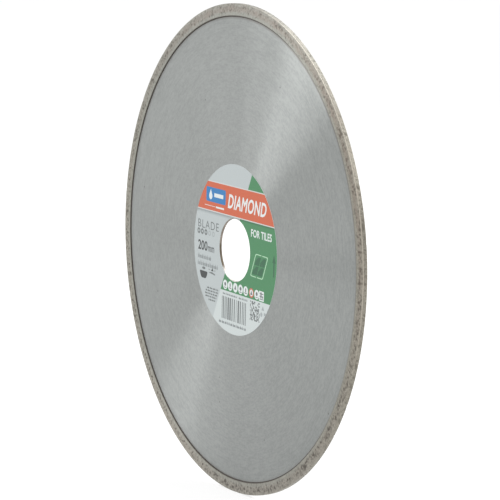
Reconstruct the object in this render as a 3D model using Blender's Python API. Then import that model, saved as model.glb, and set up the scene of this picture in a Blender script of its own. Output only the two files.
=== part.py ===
"""A 200 mm continuous-rim diamond blade for wet cutting of tiles, with a 25.4 mm arbor bore.

The blade stands upright with its axis along Y. Its printed side faces -Y, and the origin is the centre
of the bore, halfway through the steel. Three pieces make it up:

    steel_core    a flat ground steel disc whose edge is stepped down to a thin tongue
    diamond_rim   a sintered abrasive ring that straddles the tongue and stands proud of both faces
    front_label   a printed paper ring glued round the bore

Every piece is a closed outline of (radius, height) points turned once round its own Z axis. Height runs
towards the printed side, so turning a piece 90 degrees about X stands it up with that side facing -Y.
"""

import math

import bmesh
import bpy
from mathutils import Vector

MM = 0.001

# Driving dimensions
BLADE_RADIUS = 100.0 * MM
RIM_DEPTH = 5.0 * MM  # radial height of the abrasive
RIM_THICKNESS = 1.9 * MM
CORE_THICKNESS = 1.0 * MM
BORE_RADIUS = 12.7 * MM
LABEL_OUTER_RADIUS = 35.0 * MM
LABEL_HOLE_RADIUS = 13.0 * MM
LABEL_THICKNESS = 0.1 * MM

# Joint between the core and the rim
MARGIN_GROOVE = 0.4 * MM  # open width between the core's full-thickness edge and the rim's lip
TONGUE_THICKNESS = 0.7 * MM
TONGUE_DEPTH = 2.0 * MM  # how far the tongue reaches in under the rim's lip
JOINT_GAP = 0.05 * MM  # braze film round the tongue, and glue film under the label

# Edge breaks
BORE_CHAMFER = 0.2 * MM
RIM_OUTER_ROUNDING = 0.22 * MM
RIM_INNER_ROUNDING = 0.1 * MM

# Mesh resolution
SEGMENTS = 144  # facets round the axis
ARC_STEPS = 3  # facets in each rounded corner of an outline
WELD_DISTANCE = 0.001 * MM
SHARP_EDGE = math.radians(30.0)

UPRIGHT = (math.radians(90.0), 0.0, 0.0)

STEEL = ("ground_steel", (0.36, 0.38, 0.37, 1.0), 0.34, 1.0)
ABRASIVE = ("sintered_abrasive", (0.33, 0.29, 0.24, 1.0), 0.75, 0.35)
PAPER = ("printed_paper", (0.56, 0.60, 0.62, 1.0), 0.55, 0.0)


def clear_scene():
    for found in list(bpy.data.objects):
        bpy.data.objects.remove(found, do_unlink=True)


def principled(name, colour, roughness, metallic):
    """A material with one Principled BSDF set to the piece's colour, roughness and metallic value."""
    material = bpy.data.materials.new(name)
    material.use_nodes = True
    shader = material.node_tree.nodes["Principled BSDF"]
    shader.inputs["Base Color"].default_value = colour
    shader.inputs["Roughness"].default_value = roughness
    shader.inputs["Metallic"].default_value = metallic
    material.diffuse_color = colour
    return material


def rounded(corners):
    """The outline through (radius, height, rounding) corners, each rounding drawn as an arc."""
    outline = []
    for index, (radius, height, rounding) in enumerate(corners):
        corner = Vector((radius, height))
        if not rounding:
            outline.append(tuple(corner))
            continue
        before = Vector(corners[index - 1][:2])
        after = Vector(corners[(index + 1) % len(corners)][:2])
        towards_before = (before - corner).normalized()
        towards_after = (after - corner).normalized()
        half_angle = towards_before.angle(towards_after) / 2.0
        tangent_length = rounding / math.tan(half_angle)
        centre = corner + (towards_before + towards_after).normalized() * rounding / math.sin(half_angle)
        first = corner + towards_before * tangent_length - centre
        last = corner + towards_after * tangent_length - centre
        for step in range(ARC_STEPS + 1):
            direction = first.slerp(last, step / ARC_STEPS)
            outline.append(tuple(centre + direction * rounding))
    return outline


def turned(name, outline, finish):
    """The closed outline turned once round Z as one solid object, stood upright."""
    mesh = bpy.data.meshes.new(name)
    shape = bmesh.new()
    points = [shape.verts.new((radius, 0.0, height)) for radius, height in outline]
    sides = [shape.edges.new(pair) for pair in zip(points, points[1:] + points[:1])]
    bmesh.ops.spin(
        shape,
        geom=points + sides,
        cent=(0.0, 0.0, 0.0),
        axis=(0.0, 0.0, 1.0),
        angle=math.tau,
        steps=SEGMENTS,
        use_merge=True,
    )
    bmesh.ops.remove_doubles(shape, verts=shape.verts, dist=WELD_DISTANCE)
    bmesh.ops.recalc_face_normals(shape, faces=shape.faces)
    shape.to_mesh(mesh)
    shape.free()
    mesh.shade_smooth()
    mesh.set_sharp_from_angle(angle=SHARP_EDGE)
    mesh.materials.append(principled(*finish))
    piece = bpy.data.objects.new(name, mesh)
    piece.rotation_euler = UPRIGHT
    bpy.context.scene.collection.objects.link(piece)
    return piece


def steel_core():
    """A flat disc with a chamfered bore, stepped down at its edge to the tongue that carries the rim."""
    face = CORE_THICKNESS / 2.0
    tongue = TONGUE_THICKNESS / 2.0
    face_edge = BLADE_RADIUS - RIM_DEPTH - MARGIN_GROOVE
    tongue_end = BLADE_RADIUS - RIM_DEPTH + TONGUE_DEPTH
    front = [
        (BORE_RADIUS, face - BORE_CHAMFER),
        (BORE_RADIUS + BORE_CHAMFER, face),
        (face_edge, face),
        (face_edge, tongue),
        (tongue_end, tongue),
    ]
    back = [(radius, -height) for radius, height in reversed(front)]
    return turned("steel_core", front + back, STEEL)


def diamond_rim():
    """The abrasive ring, a channel in section, with rounded corners at its outer and inner edges."""
    face = RIM_THICKNESS / 2.0
    lip = BLADE_RADIUS - RIM_DEPTH
    channel_wall = TONGUE_THICKNESS / 2.0 + JOINT_GAP
    channel_floor = lip + TONGUE_DEPTH + JOINT_GAP
    front = [
        (channel_floor, channel_wall, 0.0),
        (lip, channel_wall, 0.0),
        (lip, face, RIM_INNER_ROUNDING),
        (BLADE_RADIUS, face, RIM_OUTER_ROUNDING),
    ]
    back = [(radius, -height, rounding) for radius, height, rounding in reversed(front)]
    return turned("diamond_rim", rounded(front + back), ABRASIVE)


def front_label():
    """The paper ring on the printed side, held off the steel by its film of glue."""
    glued_side = CORE_THICKNESS / 2.0 + JOINT_GAP
    printed_side = glued_side + LABEL_THICKNESS
    section = [
        (LABEL_HOLE_RADIUS, glued_side),
        (LABEL_HOLE_RADIUS, printed_side),
        (LABEL_OUTER_RADIUS, printed_side),
        (LABEL_OUTER_RADIUS, glued_side),
    ]
    return turned("front_label", section, PAPER)


clear_scene()
steel_core()
diamond_rim()
front_label()
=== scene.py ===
"""Looks of a 200 mm continuous-rim diamond blade: ground steel, sintered rim and a printed paper label.

The blade stands upright on its rim, axis along Y, printed side facing -Y. Lengths on the blade are in
millimetres, and are turned into metres where meshes are made. The stage, lights and camera are in metres.
Angles round the blade are in degrees, up from +X towards +Z.
"""

import math
import random
from collections import Counter

import bmesh
import bpy
import numpy as np
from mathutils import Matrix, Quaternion, Vector, geometry, noise


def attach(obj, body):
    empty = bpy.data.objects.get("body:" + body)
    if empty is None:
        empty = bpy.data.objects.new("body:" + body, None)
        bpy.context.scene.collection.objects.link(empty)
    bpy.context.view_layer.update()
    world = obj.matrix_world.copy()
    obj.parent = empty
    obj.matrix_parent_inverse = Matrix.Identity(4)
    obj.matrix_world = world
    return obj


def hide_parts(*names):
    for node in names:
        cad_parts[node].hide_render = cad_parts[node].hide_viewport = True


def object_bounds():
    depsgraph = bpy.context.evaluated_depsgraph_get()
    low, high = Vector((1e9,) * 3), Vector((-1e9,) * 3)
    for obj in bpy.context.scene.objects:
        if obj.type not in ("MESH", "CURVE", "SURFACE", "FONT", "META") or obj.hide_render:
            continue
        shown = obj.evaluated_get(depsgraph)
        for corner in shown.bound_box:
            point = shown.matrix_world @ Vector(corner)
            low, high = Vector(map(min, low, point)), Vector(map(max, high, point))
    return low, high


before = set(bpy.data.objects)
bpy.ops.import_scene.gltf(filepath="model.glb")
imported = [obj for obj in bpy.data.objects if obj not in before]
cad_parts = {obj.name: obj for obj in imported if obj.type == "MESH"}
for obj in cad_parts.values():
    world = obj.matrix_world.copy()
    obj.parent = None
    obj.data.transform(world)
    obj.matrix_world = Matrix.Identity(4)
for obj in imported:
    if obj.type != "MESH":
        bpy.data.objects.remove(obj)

CAD_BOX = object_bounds()
MM = 0.001
SEED = 20


# ---------------------------------------------------------------- sizes read from the frame

def reach(node):
    """(inner radius, outer radius, lowest y, highest y) of a turned CAD node, in millimetres."""
    points = np.array([v.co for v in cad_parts[node].data.vertices], float) / MM
    radii = np.hypot(points[:, 0], points[:, 2])
    return radii.min(), radii.max(), points[:, 1].min(), points[:, 1].max()


BORE, TONGUE_REACH, _, CORE_HALF = reach("steel_core")
RIM_INNER, RIM_OUTER, _, RIM_HALF = reach("diamond_rim")
LABEL_HOLE, LABEL_EDGE, LABEL_FRONT, _ = reach("front_label")
SHEET_BACK = -CORE_HALF - 0.002  # just off the steel: the CAD has a film of glue between the two

# Joint between core and rim, as part.py has it
CORE_SHOULDER = 94.6  # radius where the full-thickness steel ends and the open groove begins
TONGUE_HALF = 0.35
CHANNEL_HALF = 0.40
CHANNEL_FLOOR = 97.05
BORE_CHAMFER = 0.2


# ---------------------------------------------------------------- node helpers

def material(name):
    """A new material, its node tree and its Principled shader."""
    made = bpy.data.materials.new(name)
    made.use_nodes = True
    tree = made.node_tree
    return made, tree, tree.nodes["Principled BSDF"]


def node(tree, kind, inputs=None, **settings):
    """Adds a node. An input is given by name or number, as a plain value or as a socket to link from."""
    made = tree.nodes.new(kind)
    for key, value in settings.items():
        setattr(made, key, value)
    for key, value in (inputs or {}).items():
        if isinstance(value, bpy.types.NodeSocket):
            tree.links.new(value, made.inputs[key])
        else:
            made.inputs[key].default_value = value
    return made


def math_node(tree, operation, *values):
    return node(tree, "ShaderNodeMath", dict(enumerate(values)), operation=operation).outputs[0]


def product(tree, a, b):
    return math_node(tree, "MULTIPLY", a, b)


def vector_math(tree, operation, a, b):
    return node(tree, "ShaderNodeVectorMath", {0: a, 1: b}, operation=operation).outputs[0]


def between(tree, value, low, high):
    """0 below low, 1 above high and a smooth rise between them."""
    made = node(tree, "ShaderNodeMapRange", {0: value, 1: low, 2: high}, interpolation_type="SMOOTHSTEP")
    return made.outputs[0]


def spread(tree, value, low, high):
    """A 0 to 1 value spread over low to high."""
    return node(tree, "ShaderNodeMapRange", {0: value, 3: low, 4: high}).outputs[0]


def mix(tree, factor, a, b):
    """Colour a where factor is 0, colour b where it is 1. Each may be a plain value or a socket."""
    made = node(tree, "ShaderNodeMix", data_type="RGBA")
    for socket, value in ((made.inputs[0], factor), (made.inputs[6], a), (made.inputs[7], b)):
        if isinstance(value, bpy.types.NodeSocket):
            tree.links.new(value, socket)
        else:
            socket.default_value = value
    return made.outputs[2]


def lay(tree, colour, mask, amount, tone):
    """Lays a tone over a colour, by mask times amount."""
    return mix(tree, product(tree, mask, amount), colour, tone)


def noise_node(tree, vector, scale, detail=2.0, roughness=0.5):
    inputs = {"Vector": vector, "Scale": scale, "Detail": detail, "Roughness": roughness}
    return node(tree, "ShaderNodeTexNoise", inputs).outputs[0]


def scaled(tree, colour, factor):
    """A colour made lighter or darker by a factor that may vary over the surface."""
    return node(tree, "ShaderNodeVectorMath", {0: colour, "Scale": factor}, operation="SCALE").outputs[0]


def facing(tree, direction, degrees):
    """1 on the side of the blade at this angle up from +X, -1 on the opposite side."""
    angle = math.radians(degrees)
    axis = (math.cos(angle), 0.0, math.sin(angle))
    made = node(tree, "ShaderNodeVectorMath", {0: direction, 1: axis}, operation="DOT_PRODUCT")
    return made.outputs["Value"]


def grey(value, warmth=0.0):
    """A linear grey, with red raised and blue lowered by warmth."""
    return (value * (1 + warmth), value, value * (1 - warmth), 1.0)


def place_in_mm(tree):
    """The surface point in millimetres, in the blade's own frame."""
    place = node(tree, "ShaderNodeTexCoord").outputs["Object"]
    return vector_math(tree, "MULTIPLY", place, (1 / MM, 1 / MM, 1 / MM))


def radius_and_direction(tree, place):
    """Distance from the blade's axis in millimetres, and the unit direction outwards from it."""
    flat = vector_math(tree, "MULTIPLY", place, (1.0, 0.0, 1.0))
    radius = node(tree, "ShaderNodeVectorMath", {0: flat}, operation="LENGTH").outputs["Value"]
    direction = node(tree, "ShaderNodeVectorMath", {0: flat}, operation="NORMALIZE").outputs[0]
    return radius, direction


def along_the_ring(tree, radius, direction, across, around):
    """Coordinates in which a round noise cell is drawn out along the circles of the blade.

    A unit of noise is 1/across mm from circle to circle, and 1/around of a radian along them.
    """
    ends = vector_math(tree, "MULTIPLY", direction, (around, 0.0, around))
    parts = node(tree, "ShaderNodeSeparateXYZ", {0: ends})
    depth = product(tree, radius, across)
    made = node(tree, "ShaderNodeCombineXYZ", {0: parts.outputs[0], 1: depth, 2: parts.outputs[2]})
    return made.outputs[0]


def stretch_highlights(tree, shader, amount):
    """Draws highlights out across the circles in which the surface was ground."""
    around = node(tree, "ShaderNodeTangent", direction_type="RADIAL", axis="Y").outputs[0]
    tree.links.new(around, shader.inputs["Tangent"])
    shader.inputs["Anisotropic"].default_value = amount
    shader.inputs["Anisotropic Rotation"].default_value = 0.25  # a quarter turn from the tangent


def bump(tree, shader, *layers):
    """Stacks bump layers of (height, distance in mm) and feeds the shader's normal."""
    normal = None
    for height, distance in layers:
        inputs = {"Height": height, "Distance": distance * MM, "Strength": 1.0}
        if normal is not None:
            inputs["Normal"] = normal
        normal = node(tree, "ShaderNodeBump", inputs).outputs[0]
    tree.links.new(normal, shader.inputs["Normal"])


# ---------------------------------------------------------------- steel

STEEL_DARK = (0.286, 0.299, 0.291, 1.0)
STEEL_LIGHT = (0.352, 0.365, 0.356, 1.0)
STAIN_LIGHT = (0.30, 0.25, 0.20, 1.0)
STAIN_DARK = (0.16, 0.12, 0.085, 1.0)
BORE_LEFT_DEEP = (0.085, 0.066, 0.040, 1.0)
SPOT_CELLS = 0.16  # cells per mm, each of which may hold one dark spot
SPOT_RARITY = 0.90  # share of the cells that hold none


def ground_steel():
    """Disc face ground in circles: fine arcs, and a stretched highlight that makes the two bright fans."""
    made, tree, shader = material("ground_steel")
    place = place_in_mm(tree)
    radius, direction = radius_and_direction(tree, place)
    fine = along_the_ring(tree, radius, direction, across=1.6, around=26.0)
    fine = noise_node(tree, fine, scale=1.0, detail=3.0, roughness=0.6)
    broad = along_the_ring(tree, radius, direction, across=0.5, around=8.0)
    broad = noise_node(tree, broad, scale=1.0, detail=3.0, roughness=0.6)
    speck = noise_node(tree, place, scale=1.1, detail=2.0, roughness=0.6)
    lines = math_node(tree, "ADD", product(tree, fine, 0.45), product(tree, broad, 0.25))
    lines = math_node(tree, "MULTIPLY_ADD", speck, 0.3, lines)
    colour = mix(tree, between(tree, lines, 0.36, 0.64), STEEL_DARK, STEEL_LIGHT)
    colour = steel_painted_light_and_tint(tree, colour, place, radius, direction)
    tree.links.new(dark_spots(tree, colour, place), shader.inputs["Base Color"])
    tree.links.new(spread(tree, lines, 0.31, 0.40), shader.inputs["Roughness"])
    shader.inputs["Metallic"].default_value = 1.0
    stretch_highlights(tree, shader, 1.0)
    bump(tree, shader, (fine, 0.004), (broad, 0.004))
    return made


def steel_painted_light_and_tint(tree, colour, place, radius, direction):
    """The disc painted a little lighter towards its upper left, and a dark ring beside the groove, part
    tint and part painted shade at the rim's foot, most at the right.
    """
    # Painted light: the base colour lifted towards the upper left and lowered towards the lower right.
    painted_light_drift = facing(tree, vector_math(tree, "MULTIPLY", place, (0.01, 0.0, 0.01)), 115)
    colour = scaled(tree, colour, math_node(tree, "MULTIPLY_ADD", painted_light_drift, 0.085, 1.0))
    # Dark ring beside the groove: a tint, with painted shade at the foot of the rim added on the right
    # side.
    right = between(tree, facing(tree, direction, 40), 0.35, 0.85)
    tint_and_shade_strength = math_node(tree, "MULTIPLY_ADD", right, 0.52, 0.24)
    return lay(tree, colour, between(tree, radius, 93.5, 94.4), tint_and_shade_strength, grey(0.20, 0.06))


def dark_spots(tree, colour, place):
    """A few small dark specks on the ground face."""
    cells = node(tree, "ShaderNodeTexVoronoi", {"Vector": place, "Scale": SPOT_CELLS})
    spot = between(tree, cells.outputs["Distance"], 0.075, 0.045)
    chance = node(tree, "ShaderNodeSeparateColor", {0: cells.outputs["Color"]}).outputs[0]
    chosen = math_node(tree, "GREATER_THAN", chance, SPOT_RARITY)
    return lay(tree, colour, product(tree, spot, chosen), 0.6, grey(0.10, 0.05))


def groove_steel():
    """Bottom of the open groove beside the rim, darkened by the heat of sintering."""
    made, tree, shader = material("groove_steel")
    patches = noise_node(tree, place_in_mm(tree), scale=0.9, detail=4.0, roughness=0.65)
    colour = mix(tree, patches, grey(0.070, 0.12), grey(0.145, 0.12))
    tree.links.new(colour, shader.inputs["Base Color"])
    tree.links.new(spread(tree, patches, 0.55, 0.8), shader.inputs["Roughness"])
    shader.inputs["Metallic"].default_value = 0.6
    bump(tree, shader, (patches, 0.02))
    return made


def bore_steel():
    """Wall of the bore: bored steel with a brown stain, darker towards the left, and a pale painted
    highlight at the bottom.
    """
    made, tree, shader = material("bore_steel")
    place = place_in_mm(tree)
    direction = radius_and_direction(tree, place)[1]
    patches = noise_node(tree, place, scale=0.35, detail=3.0, roughness=0.6)
    turned = vector_math(tree, "MULTIPLY", place, (0.3, 9.0, 0.3))
    rings = noise_node(tree, turned, scale=1.0, detail=2.0)
    stain = mix(tree, between(tree, patches, 0.35, 0.65), STAIN_LIGHT, STAIN_DARK)
    colour = mix(tree, spread(tree, rings, 0.0, 0.4), stain, grey(0.42))
    # Darker towards the left of the bore.
    left_dark = between(tree, facing(tree, direction, 195), 0.86, 0.97)
    colour = lay(tree, colour, left_dark, 0.75, BORE_LEFT_DEEP)
    # Painted highlight: the bottom of the wall made pale where it would reflect the top light.
    painted_glint = between(tree, facing(tree, direction, 275), 0.45, 0.75)
    colour = lay(tree, colour, painted_glint, 0.9, grey(0.66, 0.05))
    tree.links.new(colour, shader.inputs["Base Color"])
    tree.links.new(spread(tree, patches, 0.35, 0.6), shader.inputs["Roughness"])
    shader.inputs["Metallic"].default_value = 0.85
    bump(tree, shader, (rings, 0.01))
    return made


# ---------------------------------------------------------------- sintered rim

GRAIN_DARK = (0.150, 0.139, 0.118, 1.0)
GRAIN_LIGHT = (0.315, 0.299, 0.262, 1.0)
MOTTLE = (0.272, 0.258, 0.224, 1.0)
ROSY_CLOUD = (0.245, 0.210, 0.180, 1.0)
ROSY_BAND = (0.262, 0.220, 0.187, 1.0)
GRIT_PALE = (0.389, 0.371, 0.326, 1.0)
GRIT_DARK = (0.100, 0.092, 0.077, 1.0)
PIT_DARK = (0.063, 0.056, 0.045, 1.0)
LIP_GREY = (0.299, 0.298, 0.264, 1.0)
# painted shade along the rim's inner edge
FOOT_SHADE = (0.110, 0.101, 0.084, 1.0)
WORN_PALE = (0.330, 0.312, 0.270, 1.0)
# painted highlight on the rim's outer edge
ARRIS_HIGHLIGHT = (0.54, 0.495, 0.43, 1.0)
# painted light: the rim's upper left lifted against its lower right
UPPER_LEFT_LIGHT = (1.14, 1.18, 1.21)  # the rim's upper left, against its lower right
SIDE_WARMTH = (1.0, 0.985, 0.950)  # the rim's left and right, against its top and bottom


def sintered_rim():
    """Bronze and cobalt matrix with diamond grit: warm grey grains, dark pits, a smoother inner strip, with
    painted light round the ring and a painted highlight on the outer edge.
    """
    made, tree, shader = material("sintered_rim")
    place = place_in_mm(tree)
    radius, direction = radius_and_direction(tree, place)
    grain = noise_node(tree, place, scale=1.7, detail=5.0, roughness=0.75)
    mottle = noise_node(tree, place, scale=0.75, detail=3.0, roughness=0.6)
    rosy = between(tree, facing(tree, direction, 60), 0.1, 0.8)
    rosy = math_node(tree, "MULTIPLY_ADD", rosy, 0.5, 0.15)
    colour = rim_grains(tree, place, grain, mottle, rosy)
    colour = rim_zones(tree, colour, radius, mottle, rosy)
    colour = rim_arris_highlight(tree, colour, place, radius, direction)
    colour = rim_painted_light_and_warmth(tree, colour, direction)
    tree.links.new(colour, shader.inputs["Base Color"])
    tree.links.new(spread(tree, grain, 0.37, 0.53), shader.inputs["Roughness"])
    shader.inputs["Metallic"].default_value = 0.85
    stretch_highlights(tree, shader, 0.8)
    bump(tree, shader, (grain, 0.04), (mottle, 0.03))
    return made


def rim_grains(tree, place, grain, mottle, rosy):
    """The matrix, with rosy clouds in it, pale and dark grit, and the dark of the pits."""
    colour = mix(tree, between(tree, grain, 0.36, 0.62), GRAIN_DARK, GRAIN_LIGHT)
    colour = lay(tree, colour, between(tree, mottle, 0.38, 0.64), 0.5, MOTTLE)
    cloud = noise_node(tree, place, scale=0.16, detail=3.0)
    colour = lay(tree, colour, between(tree, cloud, 0.42, 0.66), rosy, ROSY_CLOUD)
    grit = node(tree, "ShaderNodeTexVoronoi", {"Vector": place, "Scale": 1.3})
    shade = node(tree, "ShaderNodeSeparateColor", {0: grit.outputs["Color"]})
    colour = lay(tree, colour, between(tree, shade.outputs[0], 0.80, 0.86), 0.35, GRIT_PALE)
    colour = lay(tree, colour, between(tree, shade.outputs[1], 0.84, 0.90), 0.6, GRIT_DARK)
    pit = node(tree, "ShaderNodeAttribute", attribute_name="pit").outputs["Fac"]
    return lay(tree, colour, pit, 0.9, PIT_DARK)


def rim_zones(tree, colour, radius, mottle, rosy):
    """From the inside out: a dark foot of painted shade, a smooth grey lip, a rosier middle and a worn
    outer edge.
    """
    ragged = math_node(tree, "MULTIPLY_ADD", mottle, 2.4, radius)
    lip = between(tree, ragged, 98.3, 97.2)
    colour = lay(tree, colour, lip, 0.50, LIP_GREY)
    # Painted shade: a dark line along the rim's inner edge, where the rim stands up from the steel.
    colour = lay(tree, colour, between(tree, radius, 95.35, 95.1), 0.55, FOOT_SHADE)
    worn_edge = between(tree, ragged, 99.4, 100.5)
    colour = lay(tree, colour, worn_edge, 0.30, WORN_PALE)
    middle = math_node(tree, "SUBTRACT", math_node(tree, "SUBTRACT", 1.0, lip), worn_edge)
    return lay(tree, colour, middle, product(tree, rosy, 0.55), ROSY_BAND)


def rim_arris_highlight(tree, colour, place, radius, direction):
    """The edge between face and outer surface, with a painted highlight at the upper right."""
    height = node(tree, "ShaderNodeSeparateXYZ", {0: place}).outputs[1]
    arris = between(tree, math_node(tree, "ABSOLUTE", height), 0.68, 0.88)
    arris = product(tree, arris, between(tree, radius, 99.55, 99.85))
    # Painted highlight: the edge lightened at the upper right, where the top light catches it.
    painted_highlight = between(tree, facing(tree, direction, 30), 0.5, 0.9)
    return lay(tree, colour, arris, product(tree, painted_highlight, 0.75), ARRIS_HIGHLIGHT)


def rim_painted_light_and_warmth(tree, colour, direction):
    """Slow changes round the ring: painted light, lighter at the upper left and at top and bottom, and
    warmer at the sides.
    """
    # Painted light: lighter towards the upper left, darker towards the lower right.
    upper = between(tree, facing(tree, direction, 130), -0.6, 0.6)
    colour = mix(tree, upper, colour, vector_math(tree, "MULTIPLY", colour, UPPER_LEFT_LIGHT))
    # Painted light: a little lighter at top and bottom.
    ends = math_node(tree, "POWER", math_node(tree, "ABSOLUTE", facing(tree, direction, 75)), 2.0)
    colour = scaled(tree, colour, math_node(tree, "MULTIPLY_ADD", ends, 0.06, 1.0))
    sides = math_node(tree, "POWER", math_node(tree, "ABSOLUTE", facing(tree, direction, 0)), 2.0)
    return mix(tree, sides, colour, vector_math(tree, "MULTIPLY", colour, SIDE_WARMTH))


def burnt_and_shaded_rim():
    """Inner wall and channel of the rim: dark, partly burnt skin and partly painted shade on the inner
    wall.
    """
    made, tree, shader = material("burnt_and_shaded_rim")
    patches = noise_node(tree, place_in_mm(tree), scale=1.4, detail=3.0, roughness=0.6)
    # Part burnt skin, part painted shade: the inner wall coloured dark to stand in for the shade of the
    # step beside the groove.
    colour = mix(tree, patches, grey(0.055, 0.12), grey(0.120, 0.12))
    tree.links.new(colour, shader.inputs["Base Color"])
    shader.inputs["Roughness"].default_value = 0.85
    bump(tree, shader, (patches, 0.03))
    return made


# ---------------------------------------------------------------- label inks

INKS = {  # linear colour of each printed area
    "paper_grey": (0.410, 0.447, 0.450),
    "paper_white": (0.503, 0.547, 0.542),
    "white": (0.621, 0.660, 0.655),
    "border": (0.518, 0.523, 0.509),
    "band_red": (0.502, 0.110, 0.051),
    "green": (0.060, 0.205, 0.091),
    "box_blue": (0.028, 0.171, 0.399),
    "grey_fade_1": (0.255, 0.283, 0.288),
    "grey_fade_2": (0.312, 0.345, 0.350),
    "grey_fade_3": (0.364, 0.402, 0.404),
    "green_fade_1": (0.043, 0.142, 0.068),
    "green_fade_2": (0.053, 0.180, 0.083),
    "dark": (0.047, 0.052, 0.052),
    "mid_grey": (0.142, 0.156, 0.156),
    "soft_grey": (0.227, 0.248, 0.250),
    "light_grey": (0.312, 0.340, 0.345),
    "green_dark": (0.034, 0.118, 0.060),
    "green_pale": (0.387, 0.605, 0.416),
    "red_ring": (0.491, 0.123, 0.085),
}
RUBBED_PAPER = (0.55, 0.60, 0.60, 1.0)
INK_GRAIN = 0.88  # brightness of the darker grains of an ink


def ink(name):
    """Printed coated paper: the colour, a fine print grain, a little rubbed-off ink and paper fibre."""
    made, tree, shader = material("print_" + name)
    place = place_in_mm(tree)
    grain = noise_node(tree, place, scale=6.0, detail=2.0)
    fibre = noise_node(tree, place, scale=1.6, detail=4.0, roughness=0.6)
    colour = INKS[name] + (1.0,)
    darker = tuple(INK_GRAIN * c for c in INKS[name]) + (1.0,)
    printed = mix(tree, between(tree, grain, 0.35, 0.7), darker, colour)
    printed = lay(tree, printed, between(tree, fibre, 0.62, 0.8), 0.35, RUBBED_PAPER)
    tree.links.new(printed, shader.inputs["Base Color"])
    tree.links.new(spread(tree, fibre, 0.42, 0.6), shader.inputs["Roughness"])
    shader.inputs["Specular IOR Level"].default_value = 0.3
    bump(tree, shader, (fibre, 0.012))
    return made


# ---------------------------------------------------------------- mesh helpers

def mesh_object(name, mesh, materials, replaced):
    """Makes the piece, sets its finishes and hands it to the frame in place of a CAD node."""
    for finish in materials:
        mesh.materials.append(finish)
    piece = bpy.data.objects.new(name, mesh)
    bpy.context.scene.collection.objects.link(piece)
    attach(piece, "root")
    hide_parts(replaced)
    return piece


def stretch(start, end, step):
    """Points from start up to but not including end, no more than step apart."""
    a, b = np.array(start, float), np.array(end, float)
    count = max(1, math.ceil(np.linalg.norm(b - a) / step - 1e-6))
    return [tuple(a + (b - a) * i / count) for i in range(count)]


def rounded_outline(corners, steps):
    """A closed outline through (radius, y, rounding, step) corners.

    Rounding replaces a right-angled corner by an arc of that radius. Step is the longest edge on the
    straight run that follows the corner.
    """
    points = []
    count = len(corners)
    arcs = []
    for i, (r, y, rounding, _) in enumerate(corners):
        here = Vector((r, y))
        before = (Vector(corners[i - 1][:2]) - here).normalized()
        after = (Vector(corners[(i + 1) % count][:2]) - here).normalized()
        if rounding == 0:
            arcs.append([here])
            continue
        start, end = here + before * rounding, here + after * rounding
        centre = start + end - here
        arc = []
        for k in range(steps + 1):
            angle = math.pi / 2 * k / steps
            arc.append(centre + (start - centre) * math.cos(angle) + (end - centre) * math.sin(angle))
        arcs.append(arc)
    for i, arc in enumerate(arcs):
        points += [tuple(p) for p in arc[:-1]]
        points += stretch(arc[-1], arcs[(i + 1) % count][0], corners[i][3])
    return points


SHARP_EDGE = math.radians(32)
ARC_STEPS = 3  # facets in each rounded corner of an outline


def ring_mesh(name, outline, segments, shift=None, finish_of=None):
    """Turns a closed (radius, y) outline round the Y axis.

    shift(place, r, y) gives how far a vertex sinks below the outline, and a value for the pit attribute.
    finish_of(r, y) gives the material index of the face at that point of the outline.
    """
    count = len(outline)
    outline = np.array(outline, float)
    ahead, behind = np.roll(outline, -1, 0), np.roll(outline, 1, 0)
    run = ahead - behind
    run /= np.linalg.norm(run, axis=1)[:, None]
    normals = np.stack([run[:, 1], -run[:, 0]], 1)
    area = np.sum(outline[:, 0] * ahead[:, 1] - ahead[:, 0] * outline[:, 1]) / 2
    if area < 0:
        normals = -normals
    turn = 2 * math.pi / segments
    points, pits = [], []
    for i in range(segments):
        c, s = math.cos(i * turn), math.sin(i * turn)
        for (r, y), (nr, ny) in zip(outline, normals):
            depth, pit = 0.0, 0.0
            if shift is not None:
                depth, pit = shift(Vector((r * c, y, r * s)), r, y)
            rr, yy = r - nr * depth, y - ny * depth
            points.append((rr * c * MM, yy * MM, rr * s * MM))
            pits.append(pit)
    faces, finishes = [], []
    middles = (outline + ahead) / 2
    for j in range(count):
        finish = finish_of(*middles[j]) if finish_of else 0
        k = (j + 1) % count
        for i in range(segments):
            n = (i + 1) % segments
            face = (i * count + j, i * count + k, n * count + k, n * count + j)
            faces.append(face if area < 0 else face[::-1])
            finishes.append(finish)
    mesh = bpy.data.meshes.new(name)
    mesh.from_pydata(points, [], faces)
    mesh.polygons.foreach_set("material_index", finishes)
    if shift is not None:
        attribute = mesh.attributes.new("pit", "FLOAT", "POINT")
        attribute.data.foreach_set("value", pits)
    mesh.shade_smooth()
    mesh.set_sharp_from_angle(angle=SHARP_EDGE)
    mesh.update()
    return mesh


# ---------------------------------------------------------------- steel core

CORE_SEGMENTS = 720
FACE_STEP = 12.0  # longest edge on the core's flat faces, from the bore outwards
WALL_STEP = 0.3  # longest edge across the wall of a bore or a channel
SHOULDER_ROUNDING = 0.06
EDGE_STRIP = 0.03  # the groove's finish starts this far inside the shoulder
FACE, GROOVE, BORE_WALL = range(3)  # the order of the core's finishes


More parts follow.
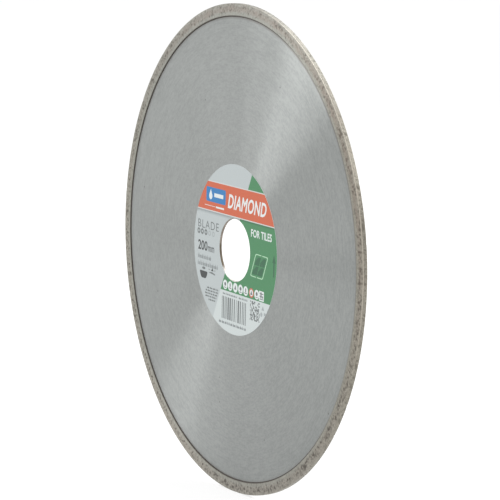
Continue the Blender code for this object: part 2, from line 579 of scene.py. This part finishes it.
def steel_core():
    """Ground disc with a chamfered bore and an edge stepped down to the tongue inside the rim."""
    half, outer = CORE_HALF, TONGUE_REACH
    corners = [
        (BORE, -half + BORE_CHAMFER, 0, WALL_STEP),
        (BORE + BORE_CHAMFER, -half, 0, FACE_STEP),
        (CORE_SHOULDER, -half, SHOULDER_ROUNDING, FACE_STEP),
        (CORE_SHOULDER, -TONGUE_HALF, 0, FACE_STEP),
        (outer, -TONGUE_HALF, 0, FACE_STEP),
        (outer, TONGUE_HALF, 0, FACE_STEP),
        (CORE_SHOULDER, TONGUE_HALF, 0, FACE_STEP),
        (CORE_SHOULDER, half, SHOULDER_ROUNDING, FACE_STEP),
        (BORE + BORE_CHAMFER, half, 0, WALL_STEP),
        (BORE, half - BORE_CHAMFER, 0, WALL_STEP),
    ]

    def finish_of(r, y):
        if r < BORE + BORE_CHAMFER:
            return BORE_WALL
        return GROOVE if r > CORE_SHOULDER - EDGE_STRIP else FACE

    finishes = [ground_steel(), groove_steel(), bore_steel()]
    outline = rounded_outline(corners, ARC_STEPS)
    mesh = ring_mesh("core_disc", outline, CORE_SEGMENTS, finish_of=finish_of)
    return mesh_object("core_disc", mesh, finishes, "steel_core")


# ---------------------------------------------------------------- diamond rim

RIM_SEGMENTS = 1700
RIM_STEP = 0.36  # longest edge across the faces in view
HIDDEN_STEP = 3.0  # longest edge inside the channel
INNER_ROUNDING = 0.08
OUTER_ROUNDING = 0.16
SLACK = 0.01  # for telling the channel's faces from the rest
LIP_STRIP = 0.13  # how far the open finish runs in from each face over the inner wall
OPEN, BURNT_AND_SHADED = range(2)  # the order of the rim's finishes

# Where in Blender's noise each pattern is read, so that no two are alike
LUMPS = Vector((7.0, 0.0, 3.0))
PITS = Vector((0.0, 31.0, 11.0))
CROWDS = Vector((5.0, 17.0, 2.0))
CHIPS = Vector((13.0, 1.0, 40.0))

PIT_LEVEL = 0.27  # a pit opens where its noise passes this
PIT_EDGE = 0.12  # how much further the noise rises to the full depth
PIT_DEPTH = 0.08
PIT_INNER = 95.7  # pits set in outside this radius
CHIP_LEVEL = 0.55
CHIP_DEPTH = 0.10
CORNER_REACH = 0.9  # how far the denser outer corner reaches, across and down together


def clamp(value):
    return min(1.0, max(0.0, value))


def rim_depth(place, r, y):
    """How far the pressed and sintered surface lies below its nominal outline, and how dark it is."""
    wave = 0.5 + 0.5 * noise.noise(place * 0.11)
    lump = 0.5 + 0.5 * noise.noise(place * 0.75 + LUMPS)
    grit = 0.5 + 0.5 * noise.noise(place * 2.1)
    corner = max(0.0, 1 - (RIM_OUTER - r + RIM_HALF - abs(y)) / CORNER_REACH)
    upper_left = (place.z * 0.5 - place.x * 0.866) / r
    pits = noise.noise(place * 0.85 + PITS)
    crowd = noise.noise(place * 0.22 + CROWDS)
    pit = clamp((pits + 0.35 * crowd - PIT_LEVEL - 0.07 * upper_left) / PIT_EDGE)
    pit *= clamp((r - PIT_INNER) / 0.6)
    pit *= 1 - 0.85 * corner
    chips = noise.noise(place * 0.5 + CHIPS)
    chip = corner * clamp((chips - CHIP_LEVEL) / PIT_EDGE)
    texture = (1 - 0.7 * corner) * (0.014 * lump + 0.012 * grit)
    depth = 0.005 + 0.015 * wave + texture + PIT_DEPTH * pit + CHIP_DEPTH * chip
    return depth, min(1.0, pit + 0.4 * chip)


def diamond_rim():
    """Sintered ring straddling the core's tongue."""
    half, inner, outer = RIM_HALF, RIM_INNER, RIM_OUTER
    corners = [
        (inner, -half, INNER_ROUNDING, RIM_STEP),
        (outer, -half, OUTER_ROUNDING, RIM_STEP),
        (outer, half, OUTER_ROUNDING, RIM_STEP),
        (inner, half, INNER_ROUNDING, WALL_STEP),
        (inner, CHANNEL_HALF, 0, HIDDEN_STEP),
        (CHANNEL_FLOOR, CHANNEL_HALF, 0, HIDDEN_STEP),
        (CHANNEL_FLOOR, -CHANNEL_HALF, 0, HIDDEN_STEP),
        (inner, -CHANNEL_HALF, 0, WALL_STEP),
    ]

    def shift(place, r, y):
        in_channel = abs(y) <= CHANNEL_HALF + SLACK and r < CHANNEL_FLOOR + SLACK
        return (0.0, 0.0) if in_channel else rim_depth(place, r, y)

    def finish_of(r, y):
        hidden = abs(y) < half - LIP_STRIP and r < CHANNEL_FLOOR + SLACK
        return BURNT_AND_SHADED if hidden else OPEN

    outline = rounded_outline(corners, ARC_STEPS)
    mesh = ring_mesh("sintered_rim", outline, RIM_SEGMENTS, shift, finish_of)
    return mesh_object("sintered_rim", mesh, [sintered_rim(), burnt_and_shaded_rim()], "diamond_rim")


# ---------------------------------------------------------------- label print

PRINT_TURN = math.radians(-2.6)  # the label was stuck on slightly askew
PRINT_SHIFT = (0.25, 0.4)  # the print isn't quite central on its ring of paper
SLANT_FOOT, SLANT = -2.45, 0.486  # x of the slanted dividing line at z = 0, and its run per unit of z
BAND_LOW, BAND_HIGH = 13.3, 25.2
BORDER = 0.42  # pale line along each side of the band
FADE_STEP = 0.42  # height of each strip of the printed shadow under the band
FIELD_LOW = -18.2  # lower edge of the green field
FAR = 60.0  # further out than any printed area


def bar(x0, x1, z0, z1):
    return [(x0, z0), (x1, z0), (x1, z1), (x0, z1)]


def disc(x, z, radius, count=28, squash=1.0):
    turns = [2 * math.pi * i / count for i in range(count)]
    return [(x + radius * math.cos(t), z + squash * radius * math.sin(t)) for t in turns]


def soft_box(corners, rounding, steps=5):
    """A polygon with each corner cut by a curve of the given reach."""
    points = []
    count = len(corners)
    for i, corner in enumerate(corners):
        here = Vector(corner)
        before = (Vector(corners[i - 1]) - here).normalized() * rounding
        after = (Vector(corners[(i + 1) % count]) - here).normalized() * rounding
        for k in range(steps + 1):
            t = k / steps
            points.append(tuple(here + before * (1 - t) ** 2 + after * t ** 2))
    return points


def word(text, x0, x1, z0, z1, bold=0.0, lean=0.0, spacing=1.0):
    """A word in Blender's own plain typeface, as closed outlines that fill the given box."""
    curve = bpy.data.curves.new("word", "FONT")
    curve.body = text
    curve.offset = bold
    curve.shear = lean
    curve.space_character = spacing
    curve.resolution_u = 3
    holder = bpy.data.objects.new("word", curve)
    bpy.context.scene.collection.objects.link(holder)
    build = bmesh.new()
    build.from_mesh(holder.evaluated_get(bpy.context.evaluated_depsgraph_get()).to_mesh())
    bmesh.ops.remove_doubles(build, verts=build.verts, dist=1e-5)
    low = [min(v.co[i] for v in build.verts) for i in (0, 1)]
    high = [max(v.co[i] for v in build.verts) for i in (0, 1)]
    across, up = (x1 - x0) / (high[0] - low[0]), (z1 - z0) / (high[1] - low[1])
    outlines = []
    for loop in edge_loops(e for e in build.edges if e.is_boundary):
        outlines.append([(x0 + (v.co.x - low[0]) * across, z0 + (v.co.y - low[1]) * up) for v in loop])
    build.free()
    bpy.data.objects.remove(holder)
    bpy.data.curves.remove(curve)
    return outlines


def edge_loops(edges):
    """The closed chains that these edges make, each as its vertices in order."""
    left = {}
    for edge in edges:
        for vert in edge.verts:
            left.setdefault(vert, []).append(edge)
    chains = []
    while left:
        start = vert = next(iter(left))
        chain = []
        while vert in left:
            chain.append(vert)
            edge = left[vert].pop()
            other = edge.other_vert(vert)
            left[other].remove(edge)
            for end in (vert, other):
                if not left[end]:
                    del left[end]
            vert = other
            if vert is start:
                break
        chains.append(chain)
    return chains


def slant_x(z):
    return SLANT_FOOT + SLANT * z


def colour_fields():
    """The large printed areas, from the bottom layer up."""
    green = [(slant_x(FIELD_LOW), FIELD_LOW), (FAR, FIELD_LOW), (FAR, FAR), (slant_x(FAR), FAR)]
    foot = [(slant_x(-FAR), -FAR), (FAR, -FAR), (FAR, FIELD_LOW), (slant_x(FIELD_LOW), FIELD_LOW)]
    layers = [("green", [green]), ("paper_white", [foot])]
    for side, shades in (("grey", 3), ("green", 2)):
        for i in range(shades, 0, -1):
            low, high = BAND_LOW - BORDER - FADE_STEP * i, BAND_LOW
            middle = slant_x(BAND_LOW - BORDER)
            strip = bar(-FAR, middle, low, high) if side == "grey" else bar(middle, FAR, low, high)
            layers.append((f"{side}_fade_{i}", [strip]))
    layers.append(("border", [bar(-FAR, FAR, BAND_LOW - BORDER, BAND_HIGH + BORDER)]))
    layers.append(("band_red", [bar(-FAR, FAR, BAND_LOW, BAND_HIGH)]))
    return layers


def small_print(dice, x0, x1, z0, z1):
    """A line of print too small to read, as blocks of random width with random risers."""
    shapes = []
    body = z0 + 0.68 * (z1 - z0)
    x = x0
    while x < x1 - 0.4:
        end = min(x + dice.uniform(0.7, 2.2), x1)
        shapes.append(bar(x, end, z0, body))
        riser = dice.uniform(x, end - 0.35)
        shapes.append(bar(riser, riser + 0.35, body, z1))
        x = end + dice.uniform(0.3, 0.5)
    return shapes


def band_print():
    """Blue box with a water drop and a plain bar, and the large word beside it."""
    box = soft_box([(-25.2, 16.8), (-8.5, 16.8), (-8.5, 22.9), (-25.2, 22.9)], 0.8)
    x, z, size = -21.4, 19.2, 1.4
    drop = [(x + size * math.cos(t), z + size * math.sin(t)) for t in np.radians(np.arange(150, 391, 15))]
    drop.append((x, z + 2.9))
    underline = [bar(-26.6, -17.4, 15.0, 15.2), bar(-16.8, -9.8, 14.7, 15.4)]
    return [
        ("box_blue", [box]),
        ("white", [drop]),
        ("white", [bar(-18.4, -10.6, 19.1, 20.7)]),
        ("white", underline),
        ("white", word("DIAMOND", -6.6, 25.4, 16.0, 22.0, bold=0.024, lean=0.25, spacing=1.06)),
    ]


def left_print(dice):
    """Kind of tool, size, small print and plain symbols on the grey ground."""
    rings = [disc(x, 3.5, size) for x in (-31.2, -28.2, -25.0) for size in (1.25, 0.5)]
    faint_rings = [disc(x, 3.5, size) for x in (-21.8, -18.5) for size in (1.15, 0.6)]
    bowl = [(-30.0, -12.9), (-22.7, -12.9), (-24.2, -15.9), (-28.4, -15.9)]
    lines = ((-23.1, -12.7, -19.2), (-24.2, -13.4, -20.4), (-24.7, -14.1, -21.6),
             (-24.4, -14.8, -22.8), (-21.6, -15.1, -24.1))
    notes = []
    for x0, x1, z in lines:
        notes += small_print(dice, x0, x1, z - 0.42, z + 0.42)
    return [
        ("mid_grey", word("BLADE", -31.9, -13.9, 5.1, 8.5, spacing=1.15)),
        ("mid_grey", rings),
        ("light_grey", faint_rings),
        ("dark", word("200", -31.6, -23.4, -4.35, -0.2, bold=0.022)),
        ("dark", word("mm", -22.9, -17.5, -4.25, -2.0, bold=0.01)),
        ("soft_grey", small_print(dice, -31.6, -20.0, -7.9, -6.0)),
        ("soft_grey", small_print(dice, -31.6, -14.0, -10.8, -8.9)),
        ("dark", [soft_box(bowl, 1.1)]),
        ("mid_grey", [disc(-26.3, -11.7, 1.4, squash=0.4)]),
        ("mid_grey", [[(-22.2, -12.9), (-16.3, -13.5), (-16.3, -13.0), (-19.2, -12.4)]]),
        ("dark", [[(-19.9, -12.0), (-17.7, -12.0), (-18.8, -10.7)]]),
        ("soft_grey", [bar(-22.2, -20.6, -11.8, -11.4), bar(-17.2, -16.0, -11.8, -11.4)]),
        ("mid_grey", notes),
    ]


def right_print():
    """Words, tile symbol and turning arrow on the green field."""
    low_left, low_right = Vector((13.3, -8.95)), Vector((23.55, -9.05))
    high_left, high_right = Vector((17.45, 0.7)), Vector((27.65, 0.5))

    def on_tile(u, v):
        low, high = low_left.lerp(low_right, u), high_left.lerp(high_right, u)
        return tuple(low.lerp(high, v))

    def patch(u0, v0, u1, v1):
        return [on_tile(u0, v0), on_tile(u1, v0), on_tile(u1, v1), on_tile(u0, v1)]

    tiles, lights = [], []
    for u in (0.11, 0.52):
        for v in (0.11, 0.52):
            tiles.append(patch(u, v, u + 0.37, v + 0.37))
            lights.append([on_tile(u, v + 0.37), on_tile(u, v + 0.17), on_tile(u + 0.20, v + 0.37)])
    arrow = [[(32.35, 2.3), (30.95, -1.0), (33.75, -1.0)], bar(31.85, 32.85, -6.7, -1.0)]
    return [
        ("white", word("FOR TILES", 13.3, 30.2, 7.0, 10.2, bold=0.022)),
        ("green_pale", [soft_box(patch(0, 0, 1, 1), 1.0)]),
        ("green", [soft_box(patch(0.045, 0.035, 0.955, 0.965), 0.9)]),
        ("green_dark", tiles),
        ("green_fade_2", lights),
        ("green", [patch(0.46, 0.0, 0.54, 0.05), patch(0.46, 0.95, 0.54, 1.0)]),
        ("green_dark", arrow),
    ]


def symbol_row():
    """Seven round symbols with plain marks, and one square one."""
    white, marks = [], []
    z = -15.75
    for i, x in enumerate((-7.4, -3.2, 1.2, 5.6, 9.9, 14.6, 19.0)):
        white.append(disc(x, z, 1.95))
        if i % 3 == 0:
            marks += [disc(x, z + 0.25, 0.8), bar(x - 0.9, x + 0.9, z - 1.3, z - 0.95)]
        elif i % 3 == 1:
            marks += [bar(x - 1.0, x + 1.0, z - 1.1, z - 0.65), bar(x - 0.4, x + 0.4, z - 0.4, z + 1.1)]
        else:
            marks.append([(x - 0.95, z - 0.8), (x + 0.95, z - 0.8), (x, z + 1.1)])
    white.append(bar(20.9, 24.9, -17.8, -13.8))
    return [
        ("white", white),
        ("red_ring", [disc(14.6, z, 1.95)]),
        ("white", [disc(14.6, z, 1.35)]),
        ("mid_grey", marks),
        ("soft_grey", [bar(21.4, 24.4, low, low + 0.5) for low in (-17.3, -16.2, -15.1)]),
        ("mid_grey", [bar(22.1, 23.0, -16.6, -14.2), bar(23.5, 24.1, -16.6, -15.7)]),
    ]


def foot_print(dice):
    """Bars and blocks of the lower part, drawn at random so that they encode nothing."""
    layers = [("soft_grey", small_print(dice, -9.3, 2.8, -19.9, -19.0))]
    layers.append(("soft_grey", small_print(dice, 4.2, 11.7, -19.9, -19.0)))
    bars = []
    x = -9.9
    while x < 10.8:
        width = dice.choice((0.4, 0.6, 0.8, 1.2))
        bars.append(bar(x, x + width, -30.0, -20.7))
        x += width + dice.choice((0.5, 0.7, 1.0))
    layers.append(("mid_grey", bars))
    layers.append(("soft_grey", small_print(dice, -12.2, 11.4, -32.1, -30.8)))
    layers.append(("mid_grey", random_blocks(dice)))
    marks = [
        [(23.2, -21.4), (25.4, -21.4), (24.3, -19.6)],
        bar(25.2, 26.8, -23.4, -22.2),
        disc(23.2, -23.2, 0.9),
    ]
    layers.append(("light_grey", marks))
    return layers


def random_blocks(dice):
    """A square field of small blocks, just over half of them printed."""
    left, foot, cell, count, share = 13.8, -26.8, 0.61, 13, 0.52
    gap = 0.01  # keeps neighbours from sharing an edge
    blocks = []
    for i in range(count):
        for k in range(count):
            if dice.random() < share:
                x, z = left + cell * i, foot + cell * k
                blocks.append(bar(x, x + cell - gap, z, z + cell - gap))
    return blocks


def on_label(point):
    """A point of the print, turned and shifted as the print lies on the label."""
    c, s = math.cos(PRINT_TURN), math.sin(PRINT_TURN)
    x, z = point
    return (x * c - z * s + PRINT_SHIFT[0], x * s + z * c + PRINT_SHIFT[1])


def anticlockwise(polygon):
    doubled_area = sum(a[0] * b[1] - b[0] * a[1] for a, b in zip(polygon, polygon[1:] + polygon[:1]))
    return polygon if doubled_area > 0 else polygon[::-1]


CUT_EDGE = 0.04  # softened edge of the paper
PAPER, HOLE = range(2)  # the two lowest levels of the print


def cut_lines(layers):
    """Every outline on the label, with the level that it belongs to, and the ink of each level."""
    outlines = [disc(0, 0, LABEL_EDGE - CUT_EDGE, 360), disc(0, 0, LABEL_HOLE + CUT_EDGE, 180)]
    levels = [PAPER, HOLE]
    inks = ["paper_grey", None]
    for ink_name, shapes in layers:
        inks.append(ink_name)
        for shape in shapes:
            outlines.append(anticlockwise([on_label(p) for p in shape]))
            levels.append(len(inks) - 1)
    return outlines, levels, inks


def printed_sheet(name, layers):
    """One closed sheet whose front is cut along every printed edge, each area with its ink's material.

    A layer prints where an odd number of its shapes overlap, so the counters of letters stay open.
    """
    names = sorted(INKS)
    outlines, levels, inks = cut_lines(layers)
    flat, loops = [], []
    for outline in outlines:
        loops.append(list(range(len(flat), len(flat) + len(outline))))
        flat += [Vector(p) for p in outline]
    points, _, faces, _, _, owners = geometry.delaunay_2d_cdt(flat, [], loops, 1, 1e-4, True)
    build = bmesh.new()
    corners = [build.verts.new((p[0] * MM, LABEL_FRONT * MM, p[1] * MM)) for p in points]
    for face, owner in zip(faces, owners):
        overlaps = Counter(levels[o] for o in owner)
        printed = [level for level, times in overlaps.items() if times % 2]
        if PAPER not in printed or HOLE in printed:
            continue
        made = build.faces.new([corners[i] for i in face])
        made.material_index = names.index(inks[max(printed)])
    bmesh.ops.delete(build, geom=[v for v in build.verts if not v.link_faces], context="VERTS")
    close_sheet(build, names.index("white"))
    bmesh.ops.recalc_face_normals(build, faces=build.faces)
    mesh = bpy.data.meshes.new(name)
    build.to_mesh(mesh)
    build.free()
    return mesh, [ink(n) for n in names]


def close_sheet(build, edge_index):
    """Turns both rims of the sheet back over a softened edge, and closes the back.

    The walls are made one by one, as Blender's own extrusion puts them in a new order on every run.
    """
    rims = [tuple(e.verts) for e in build.edges if e.is_boundary]
    for reach_out, y in ((CUT_EDGE, LABEL_FRONT + CUT_EDGE), (0.0, SHEET_BACK)):
        turned_back = {}
        for vert in (v for pair in rims for v in pair if v not in turned_back):
            radius = math.hypot(vert.co.x, vert.co.z)
            outwards = 1 if radius / MM > (LABEL_HOLE + LABEL_EDGE) / 2 else -1
            scale = (radius + outwards * reach_out * MM) / radius
            turned_back[vert] = build.verts.new((vert.co.x * scale, y * MM, vert.co.z * scale))
        for a, b in rims:
            wall = build.faces.new((a, b, turned_back[b], turned_back[a]))
            wall.material_index = edge_index
        rims = [(turned_back[a], turned_back[b]) for a, b in rims]
    back_edges = [build.edges.get(pair) for pair in rims]
    for face in bmesh.ops.bridge_loops(build, edges=back_edges)["faces"]:
        face.material_index = edge_index


def front_label():
    dice = random.Random(SEED)
    layers = colour_fields() + band_print() + left_print(dice) + right_print() + symbol_row()
    layers += foot_print(dice)
    mesh, inks = printed_sheet("printed_label", layers)
    return mesh_object("printed_label", mesh, inks, "front_label")


# ---------------------------------------------------------------- stage, light and camera

def flat_sheet(name, x0, x1, y0, y1, z):
    """One level rectangle that belongs to the stage."""
    build = bmesh.new()
    build.faces.new([build.verts.new(p) for p in ((x0, y0, z), (x1, y0, z), (x1, y1, z), (x0, y1, z))])
    mesh = bpy.data.meshes.new(name)
    build.to_mesh(mesh)
    build.free()
    sheet = bpy.data.objects.new(name, mesh)
    bpy.context.scene.collection.objects.link(sheet)
    return sheet


FLOOR_REACH = 40.0
CARD_EDGES = (-0.45, 0.0, -0.82, -0.60)  # lowest and highest x, then lowest and highest y
CARD_LIFT = 0.002


def stage():
    """Pale floor under the rim, and a dark card in front of it that only reflections see."""
    ground = CAD_BOX[0].z
    floor = flat_sheet("floor", -FLOOR_REACH, FLOOR_REACH, -FLOOR_REACH, FLOOR_REACH, ground)
    made, _, shader = material("floor_paint")
    shader.inputs["Base Color"].default_value = (0.35, 0.35, 0.35, 1.0)
    shader.inputs["Roughness"].default_value = 0.9
    shader.inputs["Specular IOR Level"].default_value = 0.0
    shader.inputs["Emission Color"].default_value = (1.0, 1.0, 1.0, 1.0)
    shader.inputs["Emission Strength"].default_value = 0.66
    floor.data.materials.append(made)
    card = flat_sheet("dark_card", *CARD_EDGES, ground + CARD_LIFT)
    made, _, shader = material("card_paint")
    shader.inputs["Base Color"].default_value = (0.02, 0.02, 0.02, 1.0)
    card.data.materials.append(made)
    card.visible_camera = False
    card.visible_diffuse = False
    card.visible_shadow = False


def soft_light(name, place, size_x, size_y, power, roll=0.0):
    """A rectangular light aimed at the middle of the blade, rolled about its own axis by some degrees."""
    lamp = bpy.data.lights.new(name, "AREA")
    lamp.shape = "RECTANGLE"
    lamp.size, lamp.size_y, lamp.energy = size_x, size_y, power
    holder = bpy.data.objects.new(name, lamp)
    holder.visible_camera = False
    holder.location = place
    aimed = (-Vector(place)).to_track_quat("-Z", "Y")
    holder.rotation_euler = (aimed @ Quaternion((0.0, 0.0, 1.0), math.radians(roll))).to_euler()
    bpy.context.scene.collection.objects.link(holder)


def lighting():
    """A white surround and five soft lights, the front one rolled to lie along the fan it makes."""
    world = bpy.data.worlds.new("studio")
    bpy.context.scene.world = world
    world.use_nodes = True
    surround = world.node_tree.nodes["Background"]
    surround.inputs["Color"].default_value = (1.0, 1.0, 1.0, 1.0)
    surround.inputs["Strength"].default_value = 1.0
    soft_light("front_softbox", (-0.51, -1.24, 1.25), 0.95, 0.95, power=10.3, roll=71)
    soft_light("side_softbox", (-1.15, -1.10, 0.85), 0.9, 0.6, power=2.2)
    soft_light("low_softbox", (-0.40, -1.30, 0.10), 0.9, 0.36, power=0.33)
    soft_light("top_softbox", (-0.36, 0.85, 1.53), 1.8, 0.8, power=13.5)
    soft_light("back_softbox", (1.1, 0.85, 1.15), 1.2, 1.0, power=8.5)


CAMERA_PLACE = Vector((0.86098, -0.47312, 0.11164))
CAMERA_AIM = Vector((0.00301, 0.00494, 0.0))
FOCAL_LENGTH = 174.8  # on a 36 mm sensor


def camera():
    """Three-quarter view from the right, slightly above the axis, with a long lens."""
    lens = bpy.data.cameras.new("camera")
    lens.lens = FOCAL_LENGTH
    lens.sensor_width = 36.0
    lens.clip_start, lens.clip_end = 0.05, 200.0
    holder = bpy.data.objects.new("camera", lens)
    holder.location = CAMERA_PLACE
    holder.rotation_euler = (CAMERA_AIM - CAMERA_PLACE).to_track_quat("-Z", "Y").to_euler()
    bpy.context.scene.collection.objects.link(holder)
    bpy.context.scene.camera = holder


camera()
stage()
lighting()
steel_core()
diamond_rim()
front_label()
bpy.context.scene.view_settings.view_transform = "Standard"
